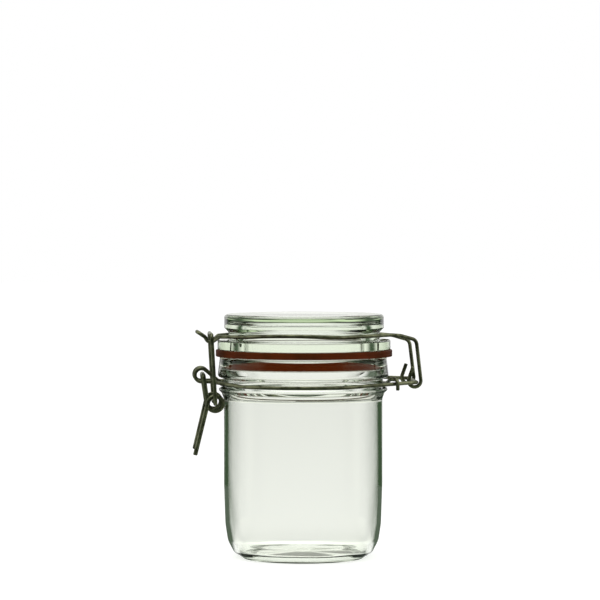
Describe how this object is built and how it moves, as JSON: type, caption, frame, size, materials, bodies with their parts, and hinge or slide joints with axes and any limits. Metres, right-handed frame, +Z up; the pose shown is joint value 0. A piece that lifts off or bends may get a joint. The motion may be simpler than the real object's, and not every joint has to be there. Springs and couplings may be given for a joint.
{
  "type": "clip-top jar",
  "caption": "Clip-top glass storage jar with a loose glass lid, a red rubber sealing ring and an over-centre wire clamp hinged on a wire neck band.",
  "frame": {"origin": "on the jar's axis, at the plane it stands on", "axes": "+Z up along the jar's axis, +X towards the lid's hinge, -X towards the latch, the camera of the picture on the -Y side"},
  "size_m": [0.123, 0.0954, 0.1322],
  "materials": {
    "jar_glass": "clear, faintly green",
    "lid_glass": "clear, faintly green",
    "red_rubber": "matt, dark red",
    "band_steel": "dull drawn wire",
    "lid_wire_steel": "dull drawn wire",
    "link_steel": "dull drawn wire",
    "lever_steel": "dull drawn wire"
  },
  "bodies": {
    "jar": {"jar_body": "jar_glass", "neck_band": "band_steel"},
    "bail": {"lid_wire": "lid_wire_steel"},
    "lid": {"glass_lid": "lid_glass", "rubber_gasket": "red_rubber"},
    "lever": {"latch_lever": "lever_steel"},
    "link": {"latch_link": "link_steel"}
  },
  "joints": [
    {"name": "lid_hinge", "type": "hinge", "parent": "jar", "child": "bail", "pos_m": [0.05905, 0, 0.0957], "axis": [0, 1, 0], "range_deg": [0, 205]},
    {"name": "lid_turn", "type": "hinge", "parent": "bail", "child": "lid", "pos_m": [0, 0, 0.12], "axis": [0, 0, 1], "continuous": true},
    {"name": "lever_flip", "type": "hinge", "parent": "jar", "child": "lever", "pos_m": [-0.0548, 0, 0.0992], "axis": [0, 1, 0], "range_deg": [0, 110]},
    {"name": "link_swing", "type": "hinge", "parent": "lever", "child": "link", "pos_m": [-0.0485, 0, 0.0841], "axis": [0, 1, 0], "range_deg": [-70, 0]}
  ],
  "couplings": [
    {"joint": "link_swing", "follows": "lever_flip", "ratio": -0.57}
  ]
}
